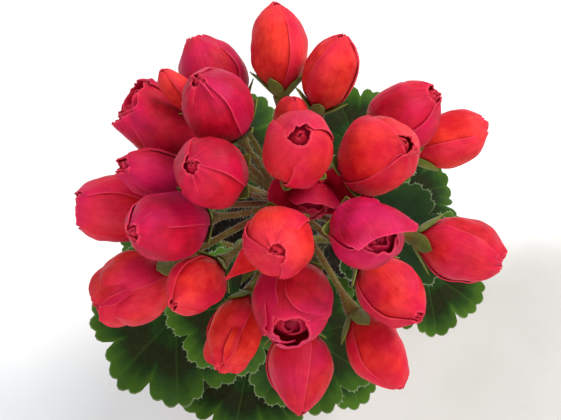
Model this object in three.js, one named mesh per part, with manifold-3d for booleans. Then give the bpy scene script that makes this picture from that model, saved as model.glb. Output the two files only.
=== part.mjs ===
// A potted geranium of the tulip-flowered kind: a clay pot of compost, a branching stem with
// toothed round leaves, and one flower head whose half-closed blossoms stand on a ball of stalks.
// Millimetres, +Z up. The origin is the centre of the pot's foot, on the surface it stands on.
import * as THREE from "three";
import { mergeVertices } from "three/addons/utils/BufferGeometryUtils.js";
import Module from "manifold-3d";

const wasm = await Module();
wasm.setup();

// Driving sizes
const pot = {
  height: 98,
  footRadius: 37,
  rimRadius: 55,
  collarHeight: 22,
  collarStep: 4,
  wall: 5,
  floor: 7,
  holes: 4,
  holeRadius: 4.5,
  holeCircle: 20,
};
const compost = { belowRim: 11, lump: 1.6, columns: 24 };
const looseGap = 0.35; // between pieces that touch
const umbel = { x: 0, y: -20, z: 250, nod: 18 }; // where the flower stalks meet, and its lean
const peduncle = { radius: 2.2, straight: 26 };
const blade = { thickness: 0.9, lobes: 7, lobeAngle: 46 };
const petal = { count: 3, lap: 1.1, edge: 3, wall: 1.1 };
const sepal = { count: 5, depth: 0.8, clear: 0.4 };
const stalkFoot = 2.6; // from the middle of the flower head

// Stems: the points that each one grows through, and its radius at the foot and the tip
const stems = [
  { points: [[0, 0, 38], [0, 0, 88], [-1, -1, 122], [0, -4, 150], [0.3, -6.5, 168]], foot: 4.6, tip: 3.3 },
  { points: [[0, 0, 96], [-9, 1, 112], [-15, -2, 134], [-17, -6, 156]], foot: 3.4, tip: 2.4 },
  { points: [[0, 0, 92], [9, 2, 108], [15, 3, 130], [18, 1, 152]], foot: 3.4, tip: 2.4 },
  { points: [[0, 1, 100], [-1, 10, 116], [1, 16, 136], [2, 18, 150]], foot: 3.2, tip: 2.3 },
];

// Blossoms, round the flower head as seen from in front of it: turn runs anticlockwise from the
// right and lean is the angle off the head's axis, in degrees. Reach is from the head's middle to
// the blossom's middle. Open runs from 0, shut, to 1, a wide tulip. Spin turns its petals.
const blossoms = [
  { turn: 93, lean: 69, reach: 46.5, width: 17, length: 27, open: 0.06, spin: 40 },
  { turn: 72, lean: 57, reach: 44.5, width: 16, length: 25, open: 0.12, spin: 200 },
  { turn: 80, lean: 14.5, reach: 53, width: 19.5, length: 26, open: 0.3, spin: 0 },
  { turn: 120, lean: 81, reach: 43, width: 20, length: 27, open: 0.32, spin: 90 },
  { turn: 126, lean: 40, reach: 48.5, width: 19.5, length: 25.5, open: 0.22, spin: 300 },
  { turn: 148, lean: 73, reach: 42.5, width: 21, length: 28, open: 0.8, spin: 20 },
  { turn: 134, lean: 60, reach: 49.5, width: 9, length: 16, open: 0, spin: 60 },
  { turn: 168, lean: 55, reach: 44, width: 14.5, length: 25.5, open: 0.5, spin: 160 },
  { turn: 182, lean: 78, reach: 49, width: 20, length: 26.5, open: 0.62, spin: 250 },
  { turn: 159, lean: 24, reach: 51, width: 19.5, length: 25, open: 0.25, spin: 330 },
  { turn: 191, lean: 40, reach: 49.5, width: 19.5, length: 29, open: 0.24, spin: 110 },
  { turn: 209, lean: 74, reach: 51.5, width: 22.5, length: 26, open: 0.3, spin: 10 },
  { turn: 222, lean: 46, reach: 46, width: 15.5, length: 22, open: 0.1, spin: 75 },
  { turn: 248, lean: 57, reach: 46, width: 16, length: 26, open: 0.12, spin: 280 },
  { turn: 256, lean: 11, reach: 53, width: 19, length: 25.5, open: 0.22, spin: 140 },
  { turn: 272, lean: 35, reach: 45, width: 22.5, length: 26.5, open: 0.45, spin: 215 },
  { turn: 274, lean: 70, reach: 49.5, width: 19.5, length: 28, open: 0.05, spin: 60 },
  { turn: 338, lean: 21.5, reach: 56, width: 18.5, length: 24, open: 0.46, spin: 180 },
  { turn: 13, lean: 10, reach: 32, width: 13, length: 19, open: 0.7, spin: 30 },
  { turn: 27, lean: 32, reach: 49, width: 21.5, length: 27, open: 0.28, spin: 95 },
  { turn: 36, lean: 62, reach: 45, width: 20, length: 25, open: 0.34, spin: 230 },
  { turn: 21, lean: 82, reach: 51, width: 17, length: 25, open: 0.3, spin: 310 },
  { turn: 345, lean: 75, reach: 52.5, width: 19.5, length: 27, open: 0.42, spin: 0 },
  { turn: 319, lean: 52.5, reach: 46.5, width: 18, length: 25.5, open: 0.14, spin: 170 },
  { turn: 301, lean: 72.5, reach: 51.5, width: 17.5, length: 26, open: 0.06, spin: 260 },
  { turn: 87, lean: 42, reach: 33, width: 11, length: 19, open: 0, spin: 120 },
];

// Leaves: the stem that each grows from and how far up it, the point where its stalk meets the
// blade, the blade's radius and heading, and how far it tips down ahead and to its left side.
const leaves = [
  { stem: 1, up: 0.86, at: [-40, -36, 167], radius: 34, heading: 224, pitch: 16, roll: 0 },
  { stem: 0, up: 0.95, at: [-18, -38, 192], radius: 24, heading: 236, pitch: 6, roll: -6 },
  { stem: 0, up: 0.66, at: [-14, -50, 150], radius: 31, heading: 258, pitch: 22, roll: -4 },
  { stem: 0, up: 0.9, at: [7, -46, 180], radius: 28, heading: 282, pitch: 12, roll: 6 },
  { stem: 2, up: 0.62, at: [16, -45, 160], radius: 27, heading: 300, pitch: 22, roll: 0 },
  { stem: 2, up: 0.98, at: [51, -20, 172], radius: 25, heading: 330, pitch: 16, roll: 8 },
  { stem: 0, up: 0.97, at: [35, -11, 188], radius: 25, heading: 4, pitch: 8, roll: -6 },
  { stem: 3, up: 0.97, at: [27, 32, 166], radius: 27, heading: 60, pitch: 10, roll: 0 },
  { stem: 3, up: 0.68, at: [-3, 40, 139], radius: 29, heading: 95, pitch: 26, roll: -2 },
  { stem: 3, up: 0.88, at: [-26, 30, 169], radius: 29, heading: 136, pitch: 12, roll: 4 },
  { stem: 1, up: 0.6, at: [-40, 2, 150], radius: 29, heading: 176, pitch: 22, roll: 0 },
  { stem: 2, up: 0.8, at: [44, 16, 146], radius: 29, heading: 24, pitch: 24, roll: 0 },
  { stem: 1, up: 0.36, at: [-36, -24, 126], radius: 29, heading: 206, pitch: 32, roll: 0 },
  { stem: 2, up: 0.34, at: [13, -38, 124], radius: 28, heading: 280, pitch: 33, roll: -2 },
];

const degrees = THREE.MathUtils.degToRad;

// A closed geometry as a solid, and a solid as a geometry
function solidOf(geometry) {
  const plain = geometry.clone();
  plain.deleteAttribute("normal");
  plain.deleteAttribute("uv");
  const merged = mergeVertices(plain, 1e-3);
  return new wasm.Manifold(
    new wasm.Mesh({
      numProp: 3,
      vertProperties: merged.attributes.position.array,
      triVerts: new Uint32Array(merged.index.array),
    }),
  );
}

function geometryOf(solid) {
  const mesh = solid.getMesh();
  const corners = new Float32Array(mesh.numVert * 3);
  for (let i = 0; i < mesh.numVert; i++) {
    corners.set(mesh.vertProperties.subarray(i * mesh.numProp, i * mesh.numProp + 3), i * 3);
  }
  const geometry = new THREE.BufferGeometry();
  geometry.setAttribute("position", new THREE.BufferAttribute(corners, 3));
  geometry.setIndex(new THREE.BufferAttribute(new Uint32Array(mesh.triVerts), 1));
  geometry.computeVertexNormals();
  return geometry;
}

function joined(solids) {
  return solids.reduce((all, one) => all.add(one));
}

// A lathed skin of columns and rows whose every corner is then set by a formula. The profile
// only gives the rows; place(row, column) returns the corner's [x, y, z].
function skinOf(rows, columns, place) {
  const profile = Array.from({ length: rows }, (_, row) => new THREE.Vector2(1, row));
  const geometry = new THREE.LatheGeometry(profile, columns);
  const corners = geometry.attributes.position;
  for (let column = 0; column <= columns; column++) {
    for (let row = 0; row < rows; row++) {
      corners.setXYZ(column * rows + row, ...place(row, column % columns));
    }
  }
  return geometry;
}

// A tapering stalk along a curve, closed at both ends
function stalk(curve, radii, sides, steps) {
  const frames = curve.computeFrenetFrames(steps);
  const rows = steps + 3;
  return skinOf(rows, sides, (row, column) => {
    const step = THREE.MathUtils.clamp(row - 1, 0, steps);
    const capped = row === 0 || row === rows - 1;
    const along = step / steps;
    const angle = (column / sides) * 2 * Math.PI;
    const radius = capped ? 0 : radii(along);
    return curve
      .getPoint(along)
      .addScaledVector(frames.normals[step], radius * Math.cos(angle))
      .addScaledVector(frames.binormals[step], radius * Math.sin(angle))
      .toArray();
  });
}

function curveThrough(points) {
  return new THREE.CatmullRomCurve3(points.map((point) => new THREE.Vector3(...point)));
}

// Seeded draw, so that every build is alike
function drawFrom(seed) {
  let state = seed;
  return () => {
    state = (state * 1664525 + 1013904223) % 4294967296;
    return state / 4294967296;
  };
}

// Pot: a thrown clay pot with a collar, and drainage holes through its floor
function potSolid() {
  const bodyTop = pot.rimRadius - pot.collarStep;
  const collarFoot = pot.height - pot.collarHeight;
  const profile = [
    [0, 0],
    [pot.footRadius - 1.5, 0],
    [pot.footRadius, 1.5],
    [bodyTop - 1, collarFoot],
    [pot.rimRadius - 1.2, collarFoot + 1.2],
    [pot.rimRadius, pot.height - 2],
    [pot.rimRadius - 1.8, pot.height],
    [pot.rimRadius - pot.wall + 1, pot.height],
    [pot.rimRadius - pot.wall, pot.height - 1.5],
    [pot.footRadius - pot.wall + 1, pot.floor + 2],
    [pot.footRadius - pot.wall - 2, pot.floor],
    [0, pot.floor],
  ].map(([radius, height]) => new THREE.Vector2(radius, height));
  let clay = solidOf(new THREE.LatheGeometry(profile, 30).rotateX(Math.PI / 2));
  for (let i = 0; i < pot.holes; i++) {
    const angle = ((i + 0.5) / pot.holes) * 2 * Math.PI;
    const drill = new THREE.CylinderGeometry(pot.holeRadius, pot.holeRadius, 3 * pot.floor, 10)
      .rotateX(Math.PI / 2)
      .translate(pot.holeCircle * Math.cos(angle), pot.holeCircle * Math.sin(angle), 0);
    clay = clay.subtract(solidOf(drill));
  }
  return clay;
}

// The pot's inside radius at a height, for what fills it
function insideRadius(height) {
  const low = pot.floor + 2;
  const high = pot.height - 1.5;
  const share = (height - low) / (high - low);
  const foot = pot.footRadius - pot.wall + 1;
  return foot + share * (pot.rimRadius - pot.wall - foot);
}

// Compost: it fills the pot to below the rim, with a lumpy top and a hole for the stem
function compostSolid(stemSolid) {
  const draw = drawFrom(7);
  const top = pot.height - compost.belowRim;
  const foot = pot.floor + looseGap;
  const edge = insideRadius(top) - 2 * looseGap;
  const rows = [
    [0, foot],
    [pot.footRadius - pot.wall - 2.5, foot],
    [insideRadius(pot.floor + 2) - 2 * looseGap, pot.floor + 2.5],
    [edge, top],
    [edge * 0.72, top],
    [edge * 0.42, top],
    [0, top],
  ];
  const lumps = rows.map(() => Array.from({ length: compost.columns }, () => draw()));
  const skin = skinOf(rows.length, compost.columns, (row, column) => {
    const angle = (column / compost.columns) * 2 * Math.PI;
    const [radius, height] = rows[row];
    const raised = row > 3 && radius > 0 ? compost.lump * (lumps[row][column] - 0.5) : 0;
    return [radius * Math.cos(angle), radius * Math.sin(angle), height + raised];
  });
  return solidOf(skin).subtract(stemSolid);
}

function stemSolids(grow) {
  return stems.map(({ points, foot, tip }) => {
    const [[x, y, z], ...rest] = points;
    const curve = curveThrough([[x, y, z - grow], ...rest]);
    return solidOf(stalk(curve, (along) => grow + foot + (tip - foot) * along, 8, 6));
  });
}

// How far out the blade's edge lies in each direction: lobes with a notch between them, two
// teeth on each lobe, and a deep cleft at the back where the stalk comes in
const lobeReach = [0.8, 1, 0.94, 1];
const bladeColumns = blade.lobes * lobeReach.length + 2;

function bladeEdge(column) {
  const half = (blade.lobes * blade.lobeAngle) / 2;
  if (column === bladeColumns - 1) return { angle: 180, reach: 0.12 };
  const angle = -half + (column * blade.lobeAngle) / lobeReach.length;
  const back = Math.abs(angle) / half;
  return { angle, reach: lobeReach[column % lobeReach.length] * (1 - 0.2 * back * back) };
}

// Height of the blade above the point where its stalk joins, as a share of its radius
function bladeLift(share, angle, radius) {
  const wave = Math.cos(degrees((360 * angle) / blade.lobeAngle));
  return radius * (0.2 * share - 0.2 * share * share - 0.045 * share * share * wave);
}

function leafSolid({ stem, up, at, radius, heading, pitch, roll }) {
  const shares = [0, 0.55, 1, 1, 0.55, 0];
  const skin = skinOf(shares.length, bladeColumns, (row, column) => {
    const { angle, reach } = bladeEdge(column);
    const share = shares[row];
    const side = row < shares.length / 2 ? -0.5 : 0.5;
    return [
      share * reach * radius * Math.cos(degrees(angle)),
      share * reach * radius * Math.sin(degrees(angle)),
      bladeLift(share, angle, radius) + side * blade.thickness,
    ];
  });
  const turned = new THREE.Matrix4()
    .makeTranslation(...at)
    .multiply(new THREE.Matrix4().makeRotationZ(degrees(heading)))
    .multiply(new THREE.Matrix4().makeRotationY(degrees(pitch)))
    .multiply(new THREE.Matrix4().makeRotationX(degrees(roll)));
  skin.applyMatrix4(turned);

  // The stalk leaves the stem square to it
  const { points, foot, tip } = stems[stem];
  const grown = curveThrough(points);
  const joint = grown.getPoint(up);
  const along = grown.getTangent(up);
  const meet = new THREE.Vector3(...at);
  const outward = meet.clone().sub(joint);
  outward.addScaledVector(along, -outward.dot(along)).normalize();
  const start = joint.clone().addScaledVector(outward, foot + (tip - foot) * up + looseGap);
  const reach = start.distanceTo(meet);
  const rise = start.clone().addScaledVector(outward, 0.3 * reach);
  const neck = meet.clone().addScaledVector(outward, -0.2 * reach);
  neck.z -= 0.16 * reach;
  const curve = new THREE.CubicBezierCurve3(start, rise, neck, meet);
  const radii = (share) => 1.5 - 0.35 * share;
  return solidOf(skin).add(solidOf(stalk(curve, radii, 5, 5)));
}

// Blossom rows from the calyx to the tip: share of its length, and share of its half width
// when shut and when wide open
const blossomRows = [
  { height: 0.1, shut: 0.42, wide: 0.42, lap: 0.3 },
  { height: 0.3, shut: 0.88, wide: 0.86, lap: 1 },
  { height: 0.5, shut: 1, wide: 1, lap: 1 },
  { height: 0.72, shut: 0.9, wide: 0.98, lap: 1 },
  { height: 0.9, shut: 0.55, wide: 0.9, lap: 1 },
  { height: 1, shut: 0.08, wide: 0.8, lap: 0.8 },
];
const petalShares = [0, 0.25, 0.5, 0.75, 1];

function blossomRadius(row, blossom) {
  const { shut, wide } = blossomRows[row];
  return (blossom.width / 2 - petal.lap) * (shut + (wide - shut) * blossom.open);
}

// Each petal laps over the next one: its skin stands proud at one edge and tucks in at the other
function blossomGeometry(blossom) {
  const { length, open, spin } = blossom;
  const hollow = open > 0.15;
  const outer = blossomRows.length;
  const rim = blossomRadius(outer - 1, blossom);
  const inner = hollow
    ? [
        { radius: Math.max(rim - petal.wall, 0.3 * rim), height: 0.985 },
        { radius: 0.62 * rim, height: 0.84 - 0.1 * open },
        { radius: 0, height: 0.88 },
      ]
    : [{ radius: 0, height: 1 }];
  const rows = 1 + outer + inner.length;
  const columns = petal.count * petalShares.length;
  const span = 360 / petal.count;
  return skinOf(rows, columns, (row, column) => {
    const place = Math.floor(column / petalShares.length);
    const share = petalShares[column % petalShares.length];
    const across = 2 * share - 1;
    if (row === 0) return [0, 0, 0];
    const skinRow = Math.min(row - 1, outer - 1);
    const { height, lap } = blossomRows[skinRow];
    const isOuter = row - 1 < outer;
    const base = isOuter ? blossomRadius(skinRow, blossom) : inner[row - 1 - outer].radius;
    const up = isOuter ? height : inner[row - 1 - outer].height;
    const radius = isOuter ? base + petal.lap * lap * (1 - share) : base;
    const dip = base > 0 ? (0.02 + 0.1 * open) * across * across * up ** 6 : 0;
    const angle = degrees(spin + span * place + (span - petal.edge) * share + 24 * up);
    return [radius * Math.cos(angle), radius * Math.sin(angle), length * (up - dip)];
  });
}

// A blossom's own frame inside the flower head: +Z out along its stalk
function blossomTurn({ turn, lean }) {
  const outward = new THREE.Vector3(
    Math.sin(degrees(lean)) * Math.cos(degrees(turn)),
    Math.sin(degrees(lean)) * Math.sin(degrees(turn)),
    Math.cos(degrees(lean)),
  );
  return new THREE.Quaternion().setFromUnitVectors(new THREE.Vector3(0, 0, 1), outward);
}

function stalkLength({ reach, length }) {
  return reach - length / 2;
}

// A flower stalk with its swollen top, and five sepals that hug the blossom's foot. It is one
// skin: a cup whose rim stands up in five points.
function calyxSolid(blossom) {
  const tall = stalkLength(blossom);
  const size = Math.min(1, blossom.width / 16);
  const low = blossomRows[0].height * blossom.length;
  const high = blossomRows[1].height * blossom.length;
  const near = blossomRadius(0, blossom) + petal.lap * blossomRows[0].lap + sepal.clear;
  const far = blossomRadius(1, blossom) + petal.lap * blossomRows[1].lap + sepal.clear;
  // Each row: how far up and out the sepal's middle is there, and the notch between two sepals
  const rows = [
    { up: stalkFoot - tall, out: 0 },
    { up: stalkFoot - tall, out: 0.75 },
    { up: -6, out: 0.85 },
    { up: -3.5 * size, out: 1.3 },
    { up: 0.1, out: 2.6 * size, notchOut: 2.4 * size },
    { up: low, out: near + sepal.depth, notchUp: 0.45 * low, notchOut: 0.7 * near + sepal.depth },
    { up: high, out: far + 0.6 * sepal.depth, notchUp: 0.45 * low, notchOut: 0.7 * near + sepal.depth },
    { up: low, out: near, notchUp: 0.4 * low, notchOut: 0.7 * near },
    { up: -looseGap, out: 1.7 * size },
    { up: -looseGap, out: 0 },
  ];
  const skin = skinOf(rows.length, 2 * sepal.count, (row, column) => {
    const { up, out, notchUp = up, notchOut } = rows[row];
    const isNotch = column % 2 === 1;
    const paired = notchOut === undefined ? column - (column % 2) : column;
    const angle = (paired / sepal.count) * Math.PI;
    const radius = isNotch ? (notchOut ?? out) : out;
    const height = tall + (isNotch ? notchUp : up);
    return [radius * Math.cos(angle), radius * Math.sin(angle), height];
  });
  return solidOf(skin).transform(
    new THREE.Matrix4().makeRotationFromQuaternion(blossomTurn(blossom)).toArray(),
  );
}

const headPlace = new THREE.Matrix4()
  .makeTranslation(umbel.x, umbel.y, umbel.z)
  .multiply(new THREE.Matrix4().makeRotationX(degrees(umbel.nod)));

// The flower head's green part: the long stalk, its knuckle with small bracts, and every calyx
function flowerStalksSolid() {
  const middle = new THREE.Vector3(umbel.x, umbel.y, umbel.z);
  const axis = new THREE.Vector3(0, 0, 1).transformDirection(headPlace);
  const shoot = curveThrough(stems[0].points);
  const start = shoot.getPoint(1).addScaledVector(shoot.getTangent(1), looseGap);
  const curve = new THREE.CubicBezierCurve3(
    start,
    start.clone().addScaledVector(shoot.getTangent(1), peduncle.straight),
    middle.clone().addScaledVector(axis, -peduncle.straight),
    middle,
  );
  const long = solidOf(stalk(curve, () => peduncle.radius, 8, 5));
  const knuckle = new THREE.SphereGeometry(4, 8, 6).translate(...middle.toArray());
  const bracts = Array.from({ length: 7 }, (_, i) => {
    const skin = new THREE.ConeGeometry(1.5, 7, 3).rotateX(Math.PI / 2).translate(0, 0, 3.5);
    skin.rotateY(degrees(62)).translate(2, 0, -1.5).rotateZ((i / 7) * 2 * Math.PI);
    return solidOf(skin.applyMatrix4(headPlace));
  });
  const calyces = joined(blossoms.map(calyxSolid)).transform(headPlace.toArray());
  return joined([long, solidOf(knuckle), ...bracts, calyces]);
}

// Colours, from the photograph
const looks = {
  clay: { color: "#b5603c", roughness: 0.85 },
  compost: { color: "#33241a", roughness: 0.95 },
  bark: { color: "#5d7a3a", roughness: 0.7 },
  leaf: { color: "#35602a", roughness: 0.6 },
  stalk: { color: "#6d6a35", roughness: 0.65 },
  petal: { color: "#c8202f", roughness: 0.55 },
};

function piece(name, geometry, look) {
  const made = new THREE.Mesh(geometry, new THREE.MeshStandardMaterial({ metalness: 0, ...looks[look] }));
  made.name = name;
  return made;
}

function numbered(word, index) {
  return `${word}_${String(index + 1).padStart(2, "0")}`;
}

const plant = new THREE.Group();
plant.add(piece("pot", geometryOf(potSolid()), "clay"));
plant.add(piece("compost", geometryOf(compostSolid(joined(stemSolids(looseGap)))), "compost"));
plant.add(piece("stem", geometryOf(joined(stemSolids(0))), "bark"));
plant.add(piece("flower_stalks", geometryOf(flowerStalksSolid()), "stalk"));
leaves.forEach((leaf, i) => {
  plant.add(piece(numbered("leaf", i), geometryOf(leafSolid(leaf)), "leaf"));
});

const head = new THREE.Group();
head.applyMatrix4(headPlace);
blossoms.forEach((blossom, i) => {
  const made = piece(numbered("blossom", i), blossomGeometry(blossom), "petal");
  made.quaternion.copy(blossomTurn(blossom));
  made.position
    .set(0, 0, stalkLength(blossom) + looseGap)
    .applyQuaternion(made.quaternion);
  head.add(made);
});
plant.add(head);

export default plant;
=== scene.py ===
import math
import random

import bmesh
import bpy
from mathutils import Matrix, Quaternion, Vector, noise


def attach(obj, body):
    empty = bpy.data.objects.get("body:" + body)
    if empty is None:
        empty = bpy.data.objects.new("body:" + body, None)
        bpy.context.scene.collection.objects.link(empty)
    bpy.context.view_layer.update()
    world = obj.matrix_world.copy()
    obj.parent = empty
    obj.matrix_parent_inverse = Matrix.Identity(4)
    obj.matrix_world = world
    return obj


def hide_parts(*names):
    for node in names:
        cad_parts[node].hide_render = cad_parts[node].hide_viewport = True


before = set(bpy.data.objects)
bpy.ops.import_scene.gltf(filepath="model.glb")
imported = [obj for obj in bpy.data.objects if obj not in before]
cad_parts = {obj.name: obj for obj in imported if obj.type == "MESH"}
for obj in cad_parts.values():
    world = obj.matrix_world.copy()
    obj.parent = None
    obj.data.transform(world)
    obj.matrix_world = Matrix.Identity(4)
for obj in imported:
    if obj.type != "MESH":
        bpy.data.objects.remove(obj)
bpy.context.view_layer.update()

# Sizes are in millimetres until a piece is finished. z is up, and the pot stands on z = 0.
umbel = {"middle": (0, -20, 250), "nod": 18}

blossoms = [  # turn, lean, reach, width, length, open, spin, ripe
    (93, 69, 46.5, 17, 27, 0.06, 40, 0.1),
    (72, 57, 44.5, 16, 25, 0.12, 200, 0.05),
    (80, 14.5, 53, 19.5, 26, 0.3, 0, 0.5),
    (120, 81, 43, 20, 27, 0.32, 90, 0.8),
    (126, 40, 48.5, 19.5, 25.5, 0.22, 300, 0.85),
    (148, 73, 42.5, 21, 28, 0.8, 20, 0.85),
    (134, 60, 49.5, 9, 16, 0, 60, 0.1),
    (168, 55, 44, 14.5, 25.5, 0.5, 160, 0.8),
    (182, 78, 49, 20, 26.5, 0.62, 250, 0.62),
    (159, 24, 51, 19.5, 25, 0.25, 330, 0.9),
    (191, 40, 49.5, 19.5, 29, 0.24, 110, 0.95),
    (209, 74, 51.5, 22.5, 26, 0.3, 10, 0.3),
    (222, 46, 46, 15.5, 22, 0.1, 75, 0.15),
    (248, 57, 46, 16, 26, 0.12, 280, 0.0),
    (256, 11, 53, 19, 25.5, 0.22, 140, 0.2),
    (272, 35, 45, 22.5, 26.5, 0.45, 215, 0.85),
    (274, 70, 49.5, 19.5, 28, 0.05, 60, 0.65),
    (338, 21.5, 56, 18.5, 24, 0.46, 180, 1.0),
    (13, 10, 32, 13, 19, 0.7, 30, 0.95),
    (27, 32, 49, 21.5, 27, 0.28, 95, 0.3),
    (36, 62, 45, 20, 25, 0.34, 230, 0.75),
    (21, 82, 51, 17, 25, 0.3, 310, 0.15),
    (345, 75, 52.5, 19.5, 27, 0.42, 0, 0.6),
    (319, 52.5, 46.5, 18, 25.5, 0.14, 170, 0.45),
    (301, 72.5, 51.5, 17.5, 26, 0.06, 260, 0.25),
    (87, 42, 33, 11, 19, 0, 120, 0.1),
]
blossomKeys = ("turn", "lean", "reach", "width", "length", "open", "spin", "ripe")
blossoms = [dict(zip(blossomKeys, row)) for row in blossoms]
oddities = {
    "point": {2: 0.2, 4: 0.3, 14: 0.5, 17: 0.9, 25: 0.5},  # these have slim tips
    "mouth": {3: 0.5, 16: 1.0, 18: 0.7},  # these stay open at the tip
    "clefts": {  # grooves toward the tip: turn, depth, width
        6: [(300, 0.25, 16), (20, 0.3, 14)],
        12: [(36, 0.5, 22), (210, 0.4, 22)],
        14: [(66, 0.55, 13)],
        20: [(250, 0.2, 16)],
        24: [(95, 0.16, 16)],
    },
}
for key, values in oddities.items():
    for number, value in values.items():
        blossoms[number - 1][key] = value

stems = [
    {
        "points": [(0, 0, 38), (0, 0, 88), (-1, -1, 122), (0, -4, 150), (0.3, -6.5, 168)],
        "foot": 4.6,
        "tip": 3.3,
    },
    {"points": [(0, 0, 96), (-9, 1, 112), (-15, -2, 134), (-17, -6, 156)], "foot": 3.4, "tip": 2.4},
    {"points": [(0, 0, 92), (9, 2, 108), (15, 3, 130), (18, 1, 152)], "foot": 3.4, "tip": 2.4},
    {"points": [(0, 1, 100), (-1, 10, 116), (1, 16, 136), (2, 18, 150)], "foot": 3.2, "tip": 2.3},
]

leaves = [  # stem, up, at, radius, heading, pitch, roll
    (1, 0.86, (-40, -36, 167), 34, 224, 16, 0),
    (0, 0.95, (-18, -38, 192), 24, 236, 6, -6),
    (0, 0.66, (-14, -50, 150), 31, 258, 22, -4),
    (0, 0.9, (7, -46, 180), 28, 282, 12, 6),
    (2, 0.62, (16, -45, 160), 27, 300, 22, 0),
    (2, 0.98, (51, -20, 172), 25, 330, 16, 8),
    (0, 0.97, (35, -11, 188), 25, 4, 8, -6),
    (3, 0.97, (27, 32, 166), 27, 60, 10, 0),
    (3, 0.68, (-3, 40, 139), 29, 95, 26, -2),
    (3, 0.88, (-26, 30, 169), 29, 136, 12, 4),
    (1, 0.6, (-40, 2, 150), 29, 176, 22, 0),
    (2, 0.8, (44, 16, 146), 29, 24, 24, 0),
    (1, 0.36, (-36, -24, 126), 29, 206, 32, 0),
    (2, 0.34, (13, -38, 124), 28, 280, 33, -2),
]
leafKeys = ("stem", "up", "at", "radius", "heading", "pitch", "roll")
leaves = [dict(zip(leafKeys, row)) for row in leaves]


# Camera and light
camera = {"focal": 70.59, "sensor": 36, "elevation": 72, "place": (-1.95, -123.97, 563.2)}


def newObject(name, data):
    made = bpy.data.objects.new(name, data)
    bpy.context.scene.collection.objects.link(made)
    return made


def placeCamera():
    lens = bpy.data.cameras.new("photoCamera")
    lens.lens = camera["focal"]
    lens.sensor_width = camera["sensor"]
    seen = newObject("photoCamera", lens)
    seen.location = Vector(camera["place"]) / 1000
    seen.rotation_euler = (math.radians(90 - camera["elevation"]), 0, 0)
    bpy.context.scene.camera = seen


studio = {  # in metres
    "world": (0.93, 0.96, 1.0),
    "worldStrength": 0.7,
    "aim": (0, -0.02, 0.2),
    "key": {"place": (0.5, 0.5, 1.1), "size": 0.6, "energy": 10.5, "color": (1.0, 0.99, 0.97)},
    "fill": {"place": (0.2, -0.9, 0.9), "size": 1.2, "energy": 8, "color": (1.0, 0.96, 0.9)},
}


def placeLights():
    world = bpy.data.worlds.new("paleRoom")
    bpy.context.scene.world = world
    world.use_nodes = True
    sky = world.node_tree.nodes["Background"]
    sky.inputs["Color"].default_value = (*studio["world"], 1)
    sky.inputs["Strength"].default_value = studio["worldStrength"]
    for name in ("key", "fill"):
        lamp = studio[name]
        light = bpy.data.lights.new(name, "AREA")
        light.energy = lamp["energy"]
        light.size = lamp["size"]
        light.color = lamp["color"]
        shining = newObject(name, light)
        shining.location = lamp["place"]
        aim = Vector(studio["aim"]) - shining.location
        shining.rotation_euler = aim.to_track_quat("-Z", "Y").to_euler()


# Node helpers
def newMaterial(name):
    material = bpy.data.materials.new(name)
    material.use_nodes = True
    tree = material.node_tree
    return material, tree, tree.nodes["Principled BSDF"]


def setOrLink(tree, socket, value):
    if isinstance(value, bpy.types.NodeSocket):
        tree.links.new(value, socket)
    elif isinstance(value, (tuple, list)) and len(value) == 3 and socket.type == "RGBA":
        socket.default_value = (*value, 1)
    elif value is not None:
        socket.default_value = value


def maths(tree, operation, first, second=None, third=None):
    made = tree.nodes.new("ShaderNodeMath")
    made.operation = operation
    for socket, value in zip(made.inputs, (first, second, third)):
        setOrLink(tree, socket, value)
    return made.outputs[0]


def mixed(tree, factor, first, second):
    made = tree.nodes.new("ShaderNodeMix")
    made.data_type = "RGBA"
    setOrLink(tree, made.inputs[0], factor)
    setOrLink(tree, made.inputs[6], first)
    setOrLink(tree, made.inputs[7], second)
    return made.outputs[2]


def remapped(tree, value, low, high, toLow=0.0, toHigh=1.0):
    made = tree.nodes.new("ShaderNodeMapRange")
    made.interpolation_type = "SMOOTHSTEP"
    for socket, given in zip(made.inputs, (value, low, high, toLow, toHigh)):
        setOrLink(tree, socket, given)
    return made.outputs[0]


def noiseOn(tree, vector, scale, detail=3.0, roughness=0.55, distortion=0.0):
    made = tree.nodes.new("ShaderNodeTexNoise")
    setOrLink(tree, made.inputs["Vector"], vector)
    made.inputs["Scale"].default_value = scale
    made.inputs["Detail"].default_value = detail
    made.inputs["Roughness"].default_value = roughness
    made.inputs["Distortion"].default_value = distortion
    return made.outputs["Fac"]


def objectPlace(tree):
    return tree.nodes.new("ShaderNodeTexCoord").outputs["Object"]


def stretched(tree, vector, scale):
    made = tree.nodes.new("ShaderNodeMapping")
    setOrLink(tree, made.inputs["Vector"], vector)
    made.inputs["Scale"].default_value = scale
    return made.outputs[0]


def pieceMap(tree, name):
    made = tree.nodes.new("ShaderNodeUVMap")
    made.uv_map = name
    split = tree.nodes.new("ShaderNodeSeparateXYZ")
    tree.links.new(made.outputs[0], split.inputs[0])
    return made.outputs[0], split.outputs[0], split.outputs[1]


def attributeOf(tree, name):
    made = tree.nodes.new("ShaderNodeAttribute")
    made.attribute_name = name
    return made.outputs["Fac"]


def setInputs(tree, shader, values):
    for label, value in values.items():
        setOrLink(tree, shader.inputs[label], value)


def bumpFrom(tree, shader, height, strength, distance):
    made = tree.nodes.new("ShaderNodeBump")
    made.inputs["Strength"].default_value = strength
    made.inputs["Distance"].default_value = distance
    setOrLink(tree, made.inputs["Height"], height)
    tree.links.new(made.outputs[0], shader.inputs["Normal"])


def newGroup(name, inputs, outputs):
    tree = bpy.data.node_groups.new(name, "ShaderNodeTree")
    for label, kind, value in inputs:
        socket = tree.interface.new_socket(label, in_out="INPUT", socket_type=kind)
        if value is not None:
            socket.default_value = value
    for label, kind in outputs:
        tree.interface.new_socket(label, in_out="OUTPUT", socket_type=kind)
    return tree, tree.nodes.new("NodeGroupInput"), tree.nodes.new("NodeGroupOutput")


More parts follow.
